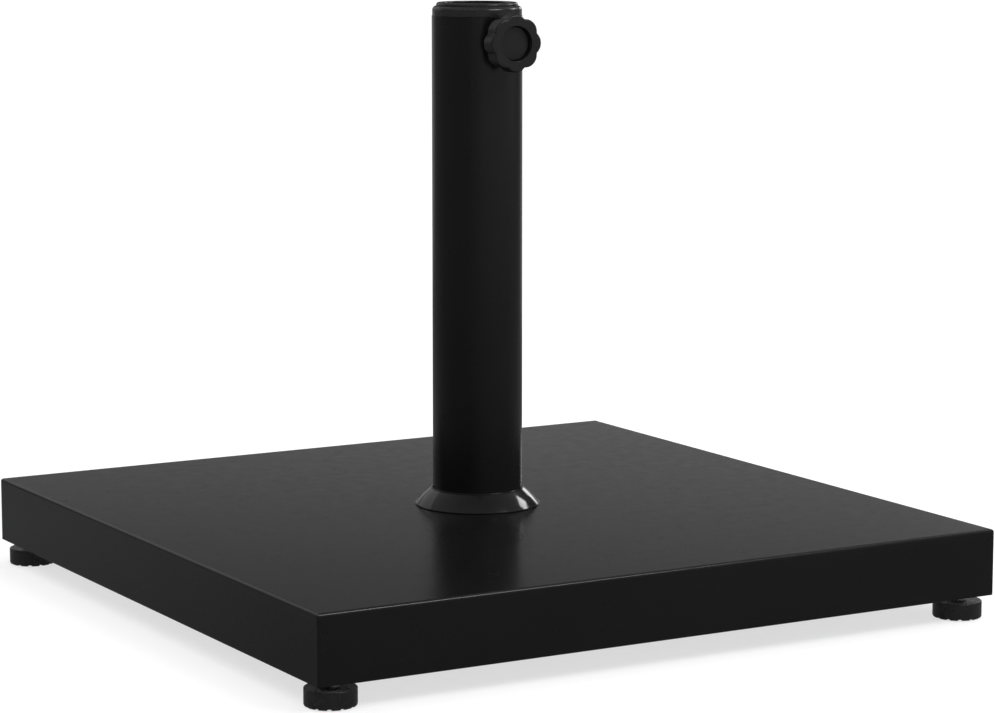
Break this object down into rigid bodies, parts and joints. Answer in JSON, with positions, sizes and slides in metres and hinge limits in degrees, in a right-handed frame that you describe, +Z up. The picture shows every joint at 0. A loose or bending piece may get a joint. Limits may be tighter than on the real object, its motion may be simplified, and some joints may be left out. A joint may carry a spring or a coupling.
{
  "type": "parasol base",
  "caption": "Square weighted slab on levelling feet, with an upright tube that takes a parasol pole in a bush and locks it with a hand screw.",
  "frame": {"origin": "on the floor under the tube's axis, at the centre of the square slab", "axes": "+Z up along the tube, -Y towards the hand screw, +X to the right when facing the hand screw"},
  "size_m": [0.45, 0.45, 0.362],
  "materials": {
    "powder_coat": "fine satin black powder coat",
    "plate_paint": "matt black primer",
    "galvanised": "galvanised sheet with a faint spangle",
    "concrete": "cast concrete",
    "plain_steel": "zinc-plated steel",
    "zinc": "bright zinc plate",
    "chrome": "bright plated thread",
    "collar_plastic": "gloss black moulding",
    "bush_plastic": "semi-matt black moulding",
    "knob_plastic": "fine-textured black moulding",
    "foot_plastic": "semi-matt black moulding",
    "nylon": "natural nylon"
  },
  "bodies": {
    "base": {"base_shell": "powder_coat", "concrete_fill": "concrete", "bottom_plate": "galvanised", "centre_sleeve": "plain_steel", "centre_bolt": "plain_steel", "spring_washer": "plain_steel", "plate_washer": "plain_steel", "pole_tube": "powder_coat", "tube_end_plate": "plate_paint", "tube_weld_nut": "plain_steel", "fixed_bush": "bush_plastic", "screw_boss": "powder_coat", "foot_insert_front_left": "zinc", "foot_insert_front_right": "zinc", "foot_insert_rear_left": "zinc", "foot_insert_rear_right": "zinc"},
    "trim_collar": {"trim_collar": "collar_plastic"},
    "pole_reducer": {"pole_reducer": "bush_plastic"},
    "clamp_tip": {"clamp_tip": "nylon"},
    "clamp_knob": {"clamp_knob": "knob_plastic", "clamp_screw": "zinc", "knob_cap": "knob_plastic"},
    "foot_stud_front_left": {"foot_stud_front_left": "chrome"},
    "foot_pad_front_left": {"foot_pad_front_left": "foot_plastic"},
    "foot_stud_front_right": {"foot_stud_front_right": "chrome"},
    "foot_pad_front_right": {"foot_pad_front_right": "foot_plastic"},
    "foot_stud_rear_left": {"foot_stud_rear_left": "chrome"},
    "foot_pad_rear_left": {"foot_pad_rear_left": "foot_plastic"},
    "foot_stud_rear_right": {"foot_stud_rear_right": "chrome"},
    "foot_pad_rear_right": {"foot_pad_rear_right": "foot_plastic"}
  },
  "joints": [
    {"name": "collar_lift", "type": "slide", "parent": "base", "child": "trim_collar", "axis": [0, 0, 1], "range_m": [0, 0.26]},
    {"name": "reducer_lift", "type": "slide", "parent": "base", "child": "pole_reducer", "axis": [0, 0, 1], "range_m": [0, 0.09]},
    {"name": "clamp_travel", "type": "slide", "parent": "base", "child": "clamp_tip", "axis": [0, -1, 0], "range_m": [-0.002, 0.006]},
    {"name": "clamp_turn", "type": "hinge", "parent": "clamp_tip", "child": "clamp_knob", "pos_m": [0, -0.04, 0.339], "axis": [0, -1, 0], "range_deg": [-576, 1728]},
    {"name": "foot_travel_front_left", "type": "slide", "parent": "base", "child": "foot_stud_front_left", "axis": [0, 0, -1], "range_m": [-0.0008, 0.01]},
    {"name": "foot_turn_front_left", "type": "hinge", "parent": "foot_stud_front_left", "child": "foot_pad_front_left", "pos_m": [-0.21, -0.21, 0.005], "axis": [0, 0, -1], "range_deg": [-230, 2880]},
    {"name": "foot_travel_front_right", "type": "slide", "parent": "base", "child": "foot_stud_front_right", "axis": [0, 0, -1], "range_m": [-0.0008, 0.01]},
    {"name": "foot_turn_front_right", "type": "hinge", "parent": "foot_stud_front_right", "child": "foot_pad_front_right", "pos_m": [0.21, -0.21, 0.005], "axis": [0, 0, -1], "range_deg": [-230, 2880]},
    {"name": "foot_travel_rear_left", "type": "slide", "parent": "base", "child": "foot_stud_rear_left", "axis": [0, 0, -1], "range_m": [-0.0008, 0.01]},
    {"name": "foot_turn_rear_left", "type": "hinge", "parent": "foot_stud_rear_left", "child": "foot_pad_rear_left", "pos_m": [-0.21, 0.21, 0.005], "axis": [0, 0, -1], "range_deg": [-230, 2880]},
    {"name": "foot_travel_rear_right", "type": "slide", "parent": "base", "child": "foot_stud_rear_right", "axis": [0, 0, -1], "range_m": [-0.0008, 0.01]},
    {"name": "foot_turn_rear_right", "type": "hinge", "parent": "foot_stud_rear_right", "child": "foot_pad_rear_right", "pos_m": [0.21, 0.21, 0.005], "axis": [0, 0, -1], "range_deg": [-230, 2880]}
  ],
  "couplings": [
    {"joint": "clamp_travel", "follows": "clamp_turn", "m_per_rad": 0.00019894},
    {"joint": "foot_travel_front_left", "follows": "foot_turn_front_left", "m_per_rad": 0.00019894},
    {"joint": "foot_travel_front_right", "follows": "foot_turn_front_right", "m_per_rad": 0.00019894},
    {"joint": "foot_travel_rear_left", "follows": "foot_turn_rear_left", "m_per_rad": 0.00019894},
    {"joint": "foot_travel_rear_right", "follows": "foot_turn_rear_right", "m_per_rad": 0.00019894}
  ]
}
